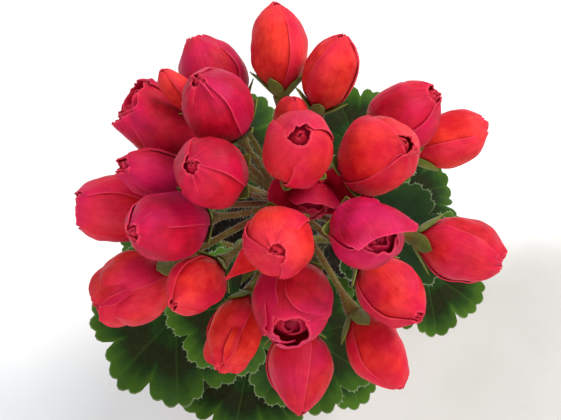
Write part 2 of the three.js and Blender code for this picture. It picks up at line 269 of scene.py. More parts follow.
def placeGroup(tree, group, **values):
    made = tree.nodes.new("ShaderNodeGroup")
    made.node_tree = group
    for label, value in values.items():
        setOrLink(tree, made.inputs[label], value)
    return made


# Uneven tint: broad cloudy patches and a finer mottle between two colours
def tintGroup():
    tree, given, result = newGroup(
        "unevenTint",
        [
            ("Place", "NodeSocketVector", None),
            ("Broad", "NodeSocketFloat", 60.0),
            ("Fine", "NodeSocketFloat", 400.0),
            ("First", "NodeSocketColor", (0.5, 0.5, 0.5, 1)),
            ("Second", "NodeSocketColor", (0.2, 0.2, 0.2, 1)),
        ],
        [("Color", "NodeSocketColor"), ("Mask", "NodeSocketFloat")],
    )
    masks = []
    for label in ("Broad", "Fine"):
        clouds = tree.nodes.new("ShaderNodeTexNoise")
        clouds.inputs["Detail"].default_value = 3
        tree.links.new(given.outputs["Place"], clouds.inputs["Vector"])
        tree.links.new(given.outputs[label], clouds.inputs["Scale"])
        masks.append(clouds.outputs["Fac"])
    both = maths(tree, "MULTIPLY_ADD", masks[1], 0.35, maths(tree, "MULTIPLY", masks[0], 0.65))
    mask = remapped(tree, both, 0.35, 0.65)
    tree.links.new(mask, result.inputs["Mask"])
    color = mixed(tree, mask, given.outputs["First"], given.outputs["Second"])
    tree.links.new(color, result.inputs["Color"])
    return tree


def tinted(tree, tint, place, broad, fine, first, second):
    group = placeGroup(tree, tint, Place=place, Broad=broad, Fine=fine, First=first, Second=second)
    return group.outputs["Color"]


# Lines that run along a piece's own map, as veins and fibres do
def fibreGroup():
    tree, given, result = newGroup(
        "fineFibres",
        [
            ("Map", "NodeSocketVector", None),
            ("Lines", "NodeSocketFloat", 40.0),
            ("Wander", "NodeSocketFloat", 3.0),
        ],
        [("Lines", "NodeSocketFloat")],
    )
    split = tree.nodes.new("ShaderNodeSeparateXYZ")
    tree.links.new(given.outputs["Map"], split.inputs[0])
    joined = tree.nodes.new("ShaderNodeCombineXYZ")
    tree.links.new(maths(tree, "MULTIPLY", split.outputs[0], given.outputs["Lines"]), joined.inputs[0])
    tree.links.new(maths(tree, "MULTIPLY", split.outputs[1], given.outputs["Wander"]), joined.inputs[1])
    lines = noiseOn(tree, joined.outputs[0], 1.0, 2.0, 0.6, 0.4)
    tree.links.new(lines, result.inputs["Lines"])
    return tree


petalLook = {
    "young": (0.84, 0.047, 0.026),
    "youngDeep": (0.6, 0.009, 0.01),
    "mature": (0.56, 0.004, 0.034),
    "matureDeep": (0.3, 0.001, 0.014),
    # pink patches: partly the petals' own blush, partly a painted highlight
    "blush": (0.64, 0.016, 0.13),
    "rose": (0.6, 0.006, 0.1),
    # pale rim: partly a paler margin, partly painted light through the thin edge
    "margin": (0.8, 0.07, 0.11),
    # painted shade deep in the mouth
    "throatShade": (0.12, 0.0012, 0.01),
    # painted glow of the inner petals in the mouth
    "paintedMouthGlow": (0.06, 0.0008, 0.005),
    "roughness": 0.36,
    "shader": {
        "Sheen Weight": 0.02,
        "Sheen Roughness": 0.4,
        "Sheen Tint": (1.0, 0.55, 0.7),
        "Specular IOR Level": 0.1,
        # emission for the painted glow in the mouth
        "Emission Strength": 1.0,
        "Subsurface Weight": 0.05,
        "Subsurface Radius": (1.0, 0.15, 0.12),
        "Subsurface Scale": 0.002,
    },
}


def petalMaterial(tint, fibres):
    material, tree, shader = newMaterial("satinPetal")
    vector, across, along = pieceMap(tree, "petalMap")
    ripe = attributeOf(tree, "ripe")
    inside = attributeOf(tree, "inside")
    place = objectPlace(tree)
    # Young petals are coral and older ones crimson, each with cloudy patches
    young = tinted(tree, tint, place, 95.0, 420.0, petalLook["young"], petalLook["youngDeep"])
    old = tinted(tree, tint, place, 80.0, 380.0, petalLook["mature"], petalLook["matureDeep"])
    base = mixed(tree, ripe, young, old)
    # Pink patches: partly the petals' own blush, partly a painted pink highlight
    blushAndHighlight = remapped(tree, noiseOn(tree, place, 48.0, 2.0), 0.46, 0.7, 0.0, 0.62)
    blushAndHighlightShare = maths(tree, "MULTIPLY", blushAndHighlight, maths(tree, "MULTIPLY_ADD", ripe, 0.95, 0.1))
    base = mixed(tree, blushAndHighlightShare, base, petalLook["blush"])
    # Rosy toward the free edge and the tip
    edgeSide = maths(tree, "MULTIPLY", remapped(tree, across, 0.4, 0.05), 0.4)
    tipSide = remapped(tree, along, 0.72, 1.0, 0.0, 0.3)
    soft = maths(tree, "MULTIPLY_ADD", noiseOn(tree, place, 110.0, 2.0), 0.8, 0.3)
    rosy = maths(tree, "MULTIPLY", maths(tree, "MAXIMUM", edgeSide, tipSide), soft)
    base = mixed(tree, rosy, base, petalLook["rose"])
    # Fine darker veins, a pale rim that is partly painted light shining through the thin edge, and a deeper
    # foot
    lines = placeGroup(tree, fibres, Map=vector, Lines=34.0, Wander=2.2).outputs["Lines"]
    fading = remapped(tree, along, 0.98, 0.8, 0.4, 1.0)
    dark = maths(tree, "MULTIPLY", remapped(tree, lines, 0.48, 0.72, 0.0, 0.2), fading)
    base = mixed(tree, dark, base, petalLook["matureDeep"])
    side = maths(tree, "ABSOLUTE", maths(tree, "SUBTRACT", across, 0.5))
    margin = maths(tree, "MAXIMUM", remapped(tree, side, 0.478, 0.497), remapped(tree, along, 0.975, 0.995))
    base = mixed(tree, maths(tree, "MULTIPLY", margin, 0.4), base, petalLook["margin"])
    foot = remapped(tree, along, 0.32, 0.05, 0.0, 0.4)
    base = mixed(tree, foot, base, petalLook["youngDeep"])
    # Painted shade: inner petals and the heart are darker toward their feet deep in the mouth
    throatShade = maths(tree, "MULTIPLY", inside, remapped(tree, along, 0.97, 0.75, 0.25, 0.9))
    base = mixed(tree, throatShade, base, petalLook["throatShade"])
    tree.links.new(base, shader.inputs["Base Color"])
    rough = maths(tree, "MULTIPLY_ADD", lines, 0.2, petalLook["roughness"])
    tree.links.new(rough, shader.inputs["Roughness"])
    # Painted glow: the inner petals emit a dim red, standing in for light that comes through the thin
    # petals into the mouth
    glow = mixed(tree, inside, (0.0, 0.0, 0.0), petalLook["paintedMouthGlow"])
    tree.links.new(glow, shader.inputs["Emission Color"])
    setInputs(tree, shader, petalLook["shader"])
    crinkle = noiseOn(tree, place, 320.0, 3.0)
    bumpFrom(tree, shader, maths(tree, "MULTIPLY_ADD", crinkle, 0.6, lines), 0.55, 0.0005)
    return material


leafLook = {
    "green": (0.024, 0.068, 0.008),
    "deep": (0.007, 0.021, 0.005),
    "bright": (0.085, 0.19, 0.014),
    "zone": (0.019, 0.013, 0.004),
    # bluish bloom, partly a painted sheen
    "bloom": (0.04, 0.085, 0.03),
    "vein": (0.07, 0.14, 0.03),
    "edge": (0.27, 0.33, 0.17),
    "shader": {"Sheen Weight": 0.01, "Sheen Roughness": 0.5, "Specular IOR Level": 0.06},
}


def leafMaterial(tint, fibres):
    material, tree, shader = newMaterial("zonedLeaf")
    vector, around, out = pieceMap(tree, "leafMap")  # turn / 360 + 0.5, and share of the radius
    place = objectPlace(tree)
    base = tinted(tree, tint, place, 55.0, 300.0, leafLook["green"], leafLook["deep"])
    clouds = noiseOn(tree, place, 60.0, 3.0)
    wander = maths(tree, "MULTIPLY_ADD", clouds, 0.3, maths(tree, "SUBTRACT", out, 0.15))
    margin = remapped(tree, wander, 0.7, 1.0)
    base = mixed(tree, maths(tree, "MULTIPLY", margin, 0.85), base, leafLook["bright"])
    zone = maths(tree, "MULTIPLY", remapped(tree, wander, 0.3, 0.42), remapped(tree, wander, 0.76, 0.62))
    base = mixed(tree, maths(tree, "MULTIPLY", zone, 0.88), base, leafLook["zone"])
    # Main veins run to the middle of each lobe, and finer ones fork from them
    turn = maths(tree, "MULTIPLY", maths(tree, "SUBTRACT", around, 0.5), 360.0)
    lobe = maths(tree, "DIVIDE", turn, leafShape["lobeAngle"])
    near = maths(tree, "ABSOLUTE", maths(tree, "SUBTRACT", lobe, maths(tree, "ROUND", lobe)))
    gap = maths(tree, "MULTIPLY", near, out)
    main = remapped(tree, gap, 0.03, 0.008)
    fork = maths(tree, "FRACT", maths(tree, "MULTIPLY_ADD", near, -3.6, maths(tree, "MULTIPLY", out, 5.5)))
    fork = maths(tree, "ABSOLUTE", maths(tree, "SUBTRACT", fork, 0.5))
    fine = maths(tree, "MULTIPLY", remapped(tree, fork, 0.07, 0.02), remapped(tree, out, 0.15, 0.4))
    veins = maths(tree, "MAXIMUM", main, maths(tree, "MULTIPLY", fine, 0.55))
    base = mixed(tree, maths(tree, "MULTIPLY", veins, 0.28), base, leafLook["vein"])
    # Bluish patches: partly the leaf's own bloom, partly a painted sheen
    bloomAndSheen = remapped(tree, noiseOn(tree, place, 32.0, 2.0), 0.5, 0.75, 0.0, 0.45)
    base = mixed(tree, bloomAndSheen, base, leafLook["bloom"])
    # Painted shade: leaves that sit in shade are painted darker
    shaded = maths(tree, "MULTIPLY", attributeOf(tree, "toneAndShade"), 0.9)
    base = mixed(tree, shaded, base, leafLook["deep"])
    base = mixed(tree, remapped(tree, out, 0.975, 0.995, 0.0, 0.5), base, leafLook["edge"])
    tree.links.new(base, shader.inputs["Base Color"])
    tree.links.new(maths(tree, "MULTIPLY_ADD", clouds, 0.25, 0.45), shader.inputs["Roughness"])
    setInputs(tree, shader, leafLook["shader"])
    puckers = placeGroup(tree, fibres, Map=stretched(tree, vector, (6.0, 6.0, 1.0)), Lines=9.0, Wander=9.0)
    height = maths(tree, "MULTIPLY_ADD", veins, -0.8, puckers.outputs["Lines"])
    fuzz = noiseOn(tree, place, 1500.0, 2.0)
    bumpFrom(tree, shader, maths(tree, "MULTIPLY_ADD", fuzz, 0.3, height), 0.6, 0.0006)
    return material


stalkLook = {
    "green": (0.12, 0.19, 0.016),
    "pale": (0.24, 0.29, 0.05),
    "blush": (0.17, 0.03, 0.014),
    # pale hairs, mixed in as a painted sheen at grazing angles
    "fuzz": (0.42, 0.44, 0.27),
    "brown": (0.07, 0.03, 0.01),
    "bark": (0.13, 0.095, 0.05),
    "shader": {"Sheen Weight": 0.03, "Specular IOR Level": 0.2},
}


def stalkMaterial(tint, fibres):
    material, tree, shader = newMaterial("hairyStalk")
    vector = pieceMap(tree, "stalkMap")[0]
    place = objectPlace(tree)
    base = tinted(tree, tint, place, 120.0, 700.0, stalkLook["green"], stalkLook["pale"])
    flushed = attributeOf(tree, "toneAndShade")
    clouds = remapped(tree, noiseOn(tree, place, 160.0, 3.0), 0.35, 0.62)
    share = maths(tree, "MULTIPLY", flushed, maths(tree, "MULTIPLY_ADD", clouds, 0.35, 0.65))
    base = mixed(tree, share, base, stalkLook["blush"])
    lines = placeGroup(tree, fibres, Map=vector, Lines=16.0, Wander=6.0).outputs["Lines"]
    base = mixed(tree, remapped(tree, lines, 0.5, 0.75, 0.0, 0.45), base, stalkLook["brown"])
    rim = tree.nodes.new("ShaderNodeLayerWeight")  # painted sheen: pale hair colour mixed in where the stalk turns away
    rim.inputs["Blend"].default_value = 0.4
    pale = remapped(tree, rim.outputs["Facing"], 0.6, 0.98, 0.0, 0.7)
    base = mixed(tree, pale, base, stalkLook["fuzz"])
    tree.links.new(base, shader.inputs["Base Color"])
    tree.links.new(maths(tree, "MULTIPLY_ADD", lines, 0.2, 0.45), shader.inputs["Roughness"])
    setInputs(tree, shader, stalkLook["shader"])
    bumpFrom(tree, shader, lines, 0.5, 0.0003)
    return material


def barkMaterial(tint, fibres):
    material, tree, shader = newMaterial("youngBark")
    vector = pieceMap(tree, "stalkMap")[0]
    place = objectPlace(tree)
    green = tinted(tree, tint, place, 90.0, 600.0, stalkLook["green"], stalkLook["brown"])
    woody = remapped(tree, attributeOf(tree, "toneAndShade"), 0.2, 0.8)
    base = mixed(tree, woody, green, stalkLook["bark"])
    lines = placeGroup(tree, fibres, Map=vector, Lines=22.0, Wander=9.0).outputs["Lines"]
    base = mixed(tree, remapped(tree, lines, 0.45, 0.7, 0.0, 0.5), base, stalkLook["brown"])
    tree.links.new(base, shader.inputs["Base Color"])
    tree.links.new(maths(tree, "MULTIPLY_ADD", lines, 0.25, 0.6), shader.inputs["Roughness"])
    bumpFrom(tree, shader, lines, 0.8, 0.0006)
    return material


hairLook = {
    "grey": (0.5, 0.52, 0.38),
    "pale": (0.8, 0.8, 0.7),
    "shader": {"Roughness": 0.4, "Sheen Weight": 0.5},
}


def hairMaterial():
    material, tree, shader = newMaterial("paleHair")
    place = objectPlace(tree)
    shade = mixed(tree, noiseOn(tree, place, 900.0, 1.0), hairLook["grey"], hairLook["pale"])
    tree.links.new(shade, shader.inputs["Base Color"])
    setInputs(tree, shader, hairLook["shader"])
    return material


potLook = {
    "clay": (0.43, 0.125, 0.055),
    "pale": (0.56, 0.23, 0.12),
    "lime": (0.72, 0.6, 0.48),
    "damp": (0.24, 0.062, 0.03),
}


def clayMaterial(tint):
    material, tree, shader = newMaterial("chalkyClay")
    place = objectPlace(tree)
    base = tinted(tree, tint, place, 18.0, 260.0, potLook["clay"], potLook["pale"])
    split = tree.nodes.new("ShaderNodeSeparateXYZ")
    tree.links.new(place, split.inputs[0])
    clouds = noiseOn(tree, place, 34.0, 5.0, 0.65)
    low = maths(tree, "MULTIPLY_ADD", clouds, 0.05, split.outputs[2])
    base = mixed(tree, remapped(tree, low, 0.06, 0.02, 0.0, 0.55), base, potLook["damp"])
    higher = remapped(tree, low, 0.03, 0.1, 0.35, 0.8)
    lime = maths(tree, "MULTIPLY", remapped(tree, clouds, 0.52, 0.66), higher)
    base = mixed(tree, lime, base, potLook["lime"])
    specks = remapped(tree, noiseOn(tree, place, 1400.0, 1.0), 0.66, 0.72, 0.0, 0.5)
    base = mixed(tree, specks, base, potLook["damp"])
    tree.links.new(base, shader.inputs["Base Color"])
    tree.links.new(maths(tree, "MULTIPLY_ADD", clouds, 0.2, 0.72), shader.inputs["Roughness"])
    rings = noiseOn(tree, stretched(tree, place, (6.0, 6.0, 420.0)), 1.0, 2.0)
    grit = noiseOn(tree, place, 900.0, 2.0)
    bumpFrom(tree, shader, maths(tree, "MULTIPLY_ADD", grit, 0.4, rings), 0.5, 0.0005)
    return material


soilLook = {
    "dark": (0.012, 0.007, 0.004),
    "brown": (0.042, 0.023, 0.012),
    "stone": (0.5, 0.47, 0.42),
    "stoneDeep": (0.42, 0.38, 0.32),
}


def soilMaterial(tint):
    material, tree, shader = newMaterial("dampCompost")
    place = objectPlace(tree)
    base = tinted(tree, tint, place, 160.0, 900.0, soilLook["dark"], soilLook["brown"])
    tree.links.new(base, shader.inputs["Base Color"])
    grit = noiseOn(tree, place, 700.0, 4.0, 0.7)
    tree.links.new(maths(tree, "MULTIPLY_ADD", grit, 0.2, 0.75), shader.inputs["Roughness"])
    bumpFrom(tree, shader, grit, 0.9, 0.0012)
    return material


def perliteMaterial():
    material, tree, shader = newMaterial("paleGrit")
    place = objectPlace(tree)
    shade = mixed(tree, noiseOn(tree, place, 700.0, 2.0), soilLook["stone"], soilLook["stoneDeep"])
    tree.links.new(shade, shader.inputs["Base Color"])
    shader.inputs["Roughness"].default_value = 0.85
    bumpFrom(tree, shader, noiseOn(tree, place, 1200.0, 2.0), 0.6, 0.0005)
    return material


floorLook = {
    "white": (0.95, 0.95, 0.95),
    "grey": (0.76, 0.785, 0.8),
    "warm": (0.5, 0.492, 0.462),
    "plain": (0.74, 0.75, 0.75),
    "speck": (0.4, 0.38, 0.35),
    "half": 3000,
    "below": 0.2,
}


def floorMaterial():
    material, tree, shader = newMaterial("paleFloor")
    place = objectPlace(tree)
    split = tree.nodes.new("ShaderNodeSeparateXYZ")
    tree.links.new(place, split.inputs[0])
    clouds = noiseOn(tree, place, 9.0, 5.0)
    # Toward the camera the floor is greyer on the left and warmer on the right; further back it is white
    floorTone = mixed(tree, remapped(tree, split.outputs[0], -0.08, 0.1), floorLook["grey"], floorLook["warm"])
    floorTone = mixed(tree, remapped(tree, clouds, 0.3, 0.7, 0.0, 0.16), floorTone, floorLook["white"])
    near = maths(tree, "MULTIPLY_ADD", split.outputs[0], -0.25, split.outputs[1])
    near = maths(tree, "MULTIPLY_ADD", clouds, 0.03, near)
    away = tree.nodes.new("ShaderNodeVectorMath")
    away.operation = "LENGTH"
    tree.links.new(place, away.inputs[0])
    floorTone = mixed(tree, remapped(tree, away.outputs["Value"], 0.25, 0.6), floorTone, floorLook["plain"])
    shade = mixed(tree, remapped(tree, near, 0.055, 0.0), floorLook["white"], floorTone)
    specks = remapped(tree, noiseOn(tree, place, 160.0, 2.0), 0.68, 0.74, 0.0, 0.12)
    shade = mixed(tree, specks, shade, floorLook["speck"])
    tree.links.new(shade, shader.inputs["Base Color"])
    shader.inputs["Roughness"].default_value = 0.7
    return material


# What was built in millimetres becomes a mesh in metres
def meshFrom(bm, name, materials=()):
    bmesh.ops.scale(bm, vec=(0.001, 0.001, 0.001), verts=bm.verts)
    mesh = bpy.data.meshes.new(name)
    bm.to_mesh(mesh)
    bm.free()
    for material in materials:
        mesh.materials.append(material)
    return mesh


# A finished piece stands for its CAD nodes
def finishPiece(bm, name, materials, nodes, sharp):
    mesh = meshFrom(bm, name, materials)
    mesh.shade_smooth()
    mesh.set_sharp_from_angle(angle=math.radians(sharp))
    piece = newObject(name, mesh)
    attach(piece, "root")
    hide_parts(*nodes)
    return piece


def addTo(bm, part, material=0):
    for face in part.faces:
        face.material_index = material
    carrier = bpy.data.meshes.new("carrier")
    part.to_mesh(carrier)
    part.free()
    bm.from_mesh(carrier)
    bpy.data.meshes.remove(carrier)


def smoothstep(value, low, high):
    share = min(max((value - low) / (high - low), 0), 1)
    return share * share * (3 - 2 * share)


# A part of a piece, with its own map and values that its points carry
def newPart(mapName, *values):
    part = bmesh.new()
    part.loops.layers.uv.new(mapName)
    for value in values:
        part.verts.layers.float.new(value)
    return part


def thicken(part, thickness):
    part.normal_update()
    bmesh.ops.solidify(part, geom=part.faces[:], thickness=thickness)


# A profile of x and z, spun round the z axis into a closed body
def spunBody(profile, steps):
    bm = bmesh.new()
    chain = [bm.verts.new((x, 0, z)) for x, z in profile]
    edges = [bm.edges.new(pair) for pair in zip(chain, chain[1:])]
    bmesh.ops.spin(bm, geom=chain + edges, cent=(0, 0, 0), axis=(0, 0, 1), angle=2 * math.pi,
                   steps=steps, use_merge=True)
    bmesh.ops.remove_doubles(bm, verts=bm.verts, dist=0.001)
    bmesh.ops.recalc_face_normals(bm, faces=bm.faces)
    return bm


# Stalks: a ring is extruded from point to point, then closed
def frameAlong(points):
    turned = []
    side = None
    for i, point in enumerate(points):
        ahead = (points[min(i + 1, len(points) - 1)] - points[max(i - 1, 0)]).normalized()
        if side is None:
            side = ahead.orthogonal().normalized()
        side = (side - ahead * side.dot(ahead)).normalized()
        turned.append((point, side, ahead.cross(side)))
    return turned


def growStalk(points, radii, sides, toneAndShade):
    bm = newPart("stalkMap", "toneAndShade")
    uv = bm.loops.layers.uv["stalkMap"]
    layer = bm.verts.layers.float["toneAndShade"]
    places = frameAlong(points)
    ring = bmesh.ops.create_circle(bm, segments=sides, radius=1)["verts"]
    rings = [ring]
    for _ in points[1:]:
        edges = [edge for edge in bm.edges if all(v in rings[-1] for v in edge.verts)]
        grown = bmesh.ops.extrude_edge_only(bm, edges=edges)["geom"]
        grown = [item for item in grown if isinstance(item, bmesh.types.BMVert)]
        order = {v.co.to_tuple(5): v for v in grown}
        rings.append([order[v.co.to_tuple(5)] for v in rings[-1]])
    for i, (ring, (middle, side, up)) in enumerate(zip(rings, places)):
        for k, vert in enumerate(ring):
            angle = 2 * math.pi * k / sides
            vert.co = middle + radii[i] * (math.cos(angle) * side + math.sin(angle) * up)
            vert[layer] = toneAndShade[i]
    for ring in (rings[0], rings[-1]):
        bm.faces.new(ring)
    bmesh.ops.recalc_face_normals(bm, faces=bm.faces)
    number = {vert: (i, k) for i, ring in enumerate(rings) for k, vert in enumerate(ring)}
    for face in bm.faces:
        columns = [number[loop.vert][1] for loop in face.loops]
        wraps = max(columns) - min(columns) > 1
        for loop in face.loops:
            i, k = number[loop.vert]
            k = sides if wraps and k == 0 else k
            loop[uv].uv = (k / sides, i / (len(points) - 1))
    return bm


# Slim cones that lean this way and that, each with its foot 0.2 mm deep in the skin
def addHairs(bm, draw, roots, look, material, moved=None):
    hairs = bmesh.new()
    for root, outward in roots:
        lean = Vector((draw.uniform(-1, 1), draw.uniform(-1, 1), draw.uniform(-1, 1)))
        ahead = (outward + lean * look["spread"]).normalized()
        tall = look["length"] * draw.uniform(0.6, 1.2)
        place = Matrix.Translation(root + ahead * (0.5 * tall - 0.2))
        place = place @ ahead.to_track_quat("Z", "Y").to_matrix().to_4x4()
        bmesh.ops.create_cone(hairs, cap_ends=True, segments=3, radius1=look["thickness"], radius2=0.01,
                              depth=tall, matrix=place)
    if moved is not None:
        hairs.transform(moved)
    addTo(bm, hairs, material)


def rootsAlong(points, radii, count, draw, low=0.0):
    places = frameAlong(points)
    roots = []
    for _ in range(count):
        share = draw.uniform(low, 1) * (len(points) - 1)
        i = min(int(share), len(points) - 2)
        part = share - i
        middle = places[i][0].lerp(places[i + 1][0], part)
        radius = radii[i] + (radii[i + 1] - radii[i]) * part
        angle = draw.uniform(0, 2 * math.pi)
        outward = (math.cos(angle) * places[i][1] + math.sin(angle) * places[i][2]).normalized()
        roots.append((middle + outward * radius, outward))
    return roots


# The same smooth curve as the solids use: it goes through every point, evenly spaced or not
def curvePoint(points, share):
    points = [Vector(point) for point in points]
    last = len(points) - 1
    i = min(int(share * last), last - 1)
    part = share * last - i
    before = points[i - 1] if i > 0 else points[0] * 2 - points[1]
    first, second = points[i], points[i + 1]
    after = points[i + 2] if i + 2 <= last else points[last] * 2 - points[last - 1]
    gaps = [math.sqrt((b - a).length) for a, b in ((before, first), (first, second), (second, after))]
    middle = (second - first) / gaps[1]
    leave = (first - before) / gaps[0] - (second - before) / (gaps[0] + gaps[1]) + middle
    arrive = middle - (after - first) / (gaps[1] + gaps[2]) + (after - second) / gaps[2]
    leave *= gaps[1]
    arrive *= gaps[1]
    cubic = first * 2 - second * 2 + leave + arrive
    square = second * 3 - first * 3 - leave * 2 - arrive
    return cubic * part**3 + square * part**2 + leave * part + first


def curveHeading(points, share):
    low, high = max(share - 1e-4, 0), min(share + 1e-4, 1)
    return (curvePoint(points, high) - curvePoint(points, low)).normalized()


def bezierPoint(knots, share):
    a, b, c, d = knots
    rest = 1 - share
    return a * rest**3 + b * 3 * rest**2 * share + c * 3 * rest * share**2 + d * share**3


# Blossoms
bloomShape = {
    "lap": 1.1,
    "twist": 24,
    "overlap": 0.38,
    "outer": {"count": 3, "across": 22, "along": 30, "thickness": 0.34},
    "inner": {"count": 3, "across": 12, "along": 18, "thickness": 0.26},
    "heart": {"openFrom": 0.07, "up": 0.6, "share": 0.3, "tall": 0.3},
    "mouths": (0.8, 0.5, 0.22),
}
# Share of the half width at each share of the height, for a shut and for a wide open blossom
shutRows = [(0, 0.12), (0.1, 0.42), (0.3, 0.88), (0.5, 1.0), (0.72, 0.9), (0.9, 0.55), (1.0, 0.08)]
wideRows = [(0, 0.12), (0.1, 0.42), (0.3, 0.86), (0.5, 1.0), (0.72, 0.98), (0.9, 0.9), (1.0, 0.8)]


# A smooth curve through rows of share and value
def eased(rows, share):
    last = len(rows) - 1
    for i in range(last):
        if share <= rows[i + 1][0] or i == last - 1:
            break
    (x1, y1), (x2, y2) = rows[i], rows[i + 1]
    x0, y0 = rows[i - 1] if i > 0 else (2 * x1 - x2, 2 * y1 - y2)
    x3, y3 = rows[i + 2] if i + 2 <= last else (2 * x2 - x1, 2 * y2 - y1)
    leave = (y2 - y0) / (x2 - x0) * (x2 - x1)
    arrive = (y3 - y1) / (x3 - x1) * (x2 - x1)
    part = (share - x1) / (x2 - x1)
    return (
        (2 * part**3 - 3 * part**2 + 1) * y1
        + (part**3 - 2 * part**2 + part) * leave
        + (3 * part**2 - 2 * part**3) * y2
        + (part**3 - part**2) * arrive
    )


def bloomRadius(bloom, up):
    shut = eased(shutRows, up)
    wide = eased(wideRows, up)
    return (bloom["width"] / 2 - bloomShape["lap"]) * (shut + (wide - shut) * bloom["open"])


def bloomPlace(bloom):
    turn, lean = math.radians(bloom["turn"]), math.radians(bloom["lean"])
    outward = Vector((math.sin(lean) * math.cos(turn), math.sin(lean) * math.sin(turn), math.cos(lean)))
    return Vector((0, 0, 1)).rotation_difference(outward).to_matrix().to_4x4()


def headPlace():
    return Matrix.Translation(umbel["middle"]) @ Matrix.Rotation(math.radians(umbel["nod"]), 4, "X")


def stalkLength(bloom):
    return bloom["reach"] - bloom["length"] / 2


# Dents and swellings that all petals of a blossom share
def unevenness(bloom, angle, up, seed):
    around = Vector((math.cos(angle), math.sin(angle), 2.4 * up)) + Vector((seed, seed * 0.7, 0))
    broad = 0.85 * noise.noise(around * 1.15)
    narrow = 0.26 * noise.noise(around * 3.1)
    return (broad + narrow) * bloom["width"] / 18 * smoothstep(up, 0.06, 0.35)


# A point of a petal: across runs from its free edge at -1 to its tucked edge at 1
def outerPetal(bloom, look, k, across, up, seed):
    span = 360 / look["count"]
    share = (across + 1) / 2 * (1 + bloomShape["overlap"])
    opened = bloom["open"]
    edge = max(-across, 0)
    dip = (0.035 + 0.1 * opened) * (0.6 * across**2 + 0.4 * edge**4) * up**5
    frill = noise.noise(Vector((across * 6, seed, k * 3.1))) * smoothstep(up, 0.88, 1)
    frill *= 1 - 0.6 * bloom.get("mouth", 0)
    height = up * (1 - 0.02 * k) - dip + frill * (0.015 + 0.07 * opened)
    slant = 7 * noise.noise(Vector((up * 2.3, seed, k * 5.3)))  # free edges wander
    turn = bloom["spin"] + span * k + (span - 3) * share + bloomShape["twist"] * up + slant
    angle = math.radians(turn)
    tuck = (0.15 + 0.85 * (1 - share)) * smoothstep(up, 0, 0.3)
    press = -0.2 * smoothstep(share, 0.14, 0.0)
    crease = -0.3 * math.exp(-((across * 5 + 0.6) ** 2)) * smoothstep(up, 0.3, 0.7) * (k == 0)
    spread = 0.3 + noise.noise(Vector((across * 3, seed, 9 + k)))
    flare = 1.6 * opened * smoothstep(up, 0.86, 1) * spread
    radius = bloomRadius(bloom, min(max(up - dip * 0.4, 0), 1)) + tuck + press + crease + flare
    # One petal closes over the mouth more than the others do
    some = smoothstep(opened, 0.04, 0.2) * max(1 - 1.4 * opened, 0) * (1 - bloom.get("mouth", 0))
    closing = (0.85, 0.2, 0.5)[k] * some * smoothstep(up, 0.76, 1) * (1 - 0.5 * across**2)
    point = bloom.get("point", 0) * 0.2 * smoothstep(up, 0.52, 0.86)
    radius *= (1 - closing) * (1 - point)
    for middle, depth, width in bloom.get("clefts", ()):
        away = (turn - middle + 180) % 360 - 180
        radius *= 1 - depth * math.exp(-((away / width) ** 2)) * smoothstep(up, 0.35, 0.95)
    radius = max(radius + unevenness(bloom, angle, up, seed) * min(1, radius / 4), 0.12)
    return Vector((radius * math.cos(angle), radius * math.sin(angle), bloom["length"] * height))


# Inner petals stand in layers, each lower and closer than the one around it
def innerPetal(bloom, look, k, across, up, seed):
    opened, layer = bloom["open"], look["layer"]
    dip = (0.02 + 0.05 * opened) * across**2 * up**4
    frill = noise.noise(Vector((across * 6, seed, 20 + k + layer))) * smoothstep(up, 0.88, 1)
    angle = math.radians(bloom["spin"] + 62 * (layer + 1) + 120 * k + 70 * across + 50 * up)
    sunk = 0.012 * k + 0.035 * layer + 0.07 * bloom.get("mouth", 0)
    height = up * (1 - sunk) - dip + 0.035 * frill
    mouth = bloomShape["mouths"][layer + (1 if opened < 0.4 else 0)]
    closing = 1 - (1 - mouth) * smoothstep(up, 0.5, 0.97)
    inset = 0.75 + 0.9 * layer + 0.22 * k + 0.35 * (1 + across) / 2
    radius = (bloomRadius(bloom, up) - inset) * closing
    radius += unevenness(bloom, angle, up, seed) * 0.7
    radius += 0.3 * noise.noise(Vector((across * 2, up * 2, seed + 30 + k)))
    radius = max(radius, 0.15 + 0.1 * k)
    return Vector((radius * math.cos(angle), radius * math.sin(angle), bloom["length"] * height))


def addPetals(bm, bloom, shape, look, seed, draw, younger=0.0):
    for k in range(look["count"]):
        part = newPart("petalMap", "ripe", "inside")
        ripe, inside = part.verts.layers.float["ripe"], part.verts.layers.float["inside"]
        bmesh.ops.create_grid(part, x_segments=look["across"], y_segments=look["along"], size=1,
                              calc_uvs=True)
        shift = draw.uniform(-0.14, 0.14) - younger
        for vert in part.verts:
            across, up = vert.co.x, (vert.co.y + 1) / 2
            vert[ripe] = min(max(bloom["ripe"] + shift, 0), 1)
            # inner petals take the painted shade and glow of the mouth
            vert[inside] = 1.0 if younger else 0.0
            vert.co = shape(bloom, look, k, across, up, seed)
        thicken(part, look["thickness"])
        addTo(bm, part)


# The bud of folded petals deep in the mouth
def addHeart(bm, bloom, seed):
    look = bloomShape["heart"]
    part = newPart("petalMap", "ripe", "inside")
    ripe, inside = part.verts.layers.float["ripe"], part.verts.layers.float["inside"]
    bmesh.ops.create_icosphere(part, subdivisions=4, radius=1, calc_uvs=True)
    wide = bloomRadius(bloom, look["up"]) * look["share"] * (1 + 0.4 * bloom.get("mouth", 0))
    for vert in part.verts:
        # the heart takes the painted shade and glow of the mouth
        vert[ripe] = 0.9
        vert[inside] = 1.0
        turn = math.atan2(vert.co.y, vert.co.x)
        fold = 1 + 0.12 * math.sin(3 * turn + 3.5 * vert.co.z + seed)
        tall = bloom["length"] * (look["up"] + look["tall"] * vert.co.z)
        vert.co = Vector((vert.co.x * wide * fold, vert.co.y * wide * fold, tall))
    addTo(bm, part)


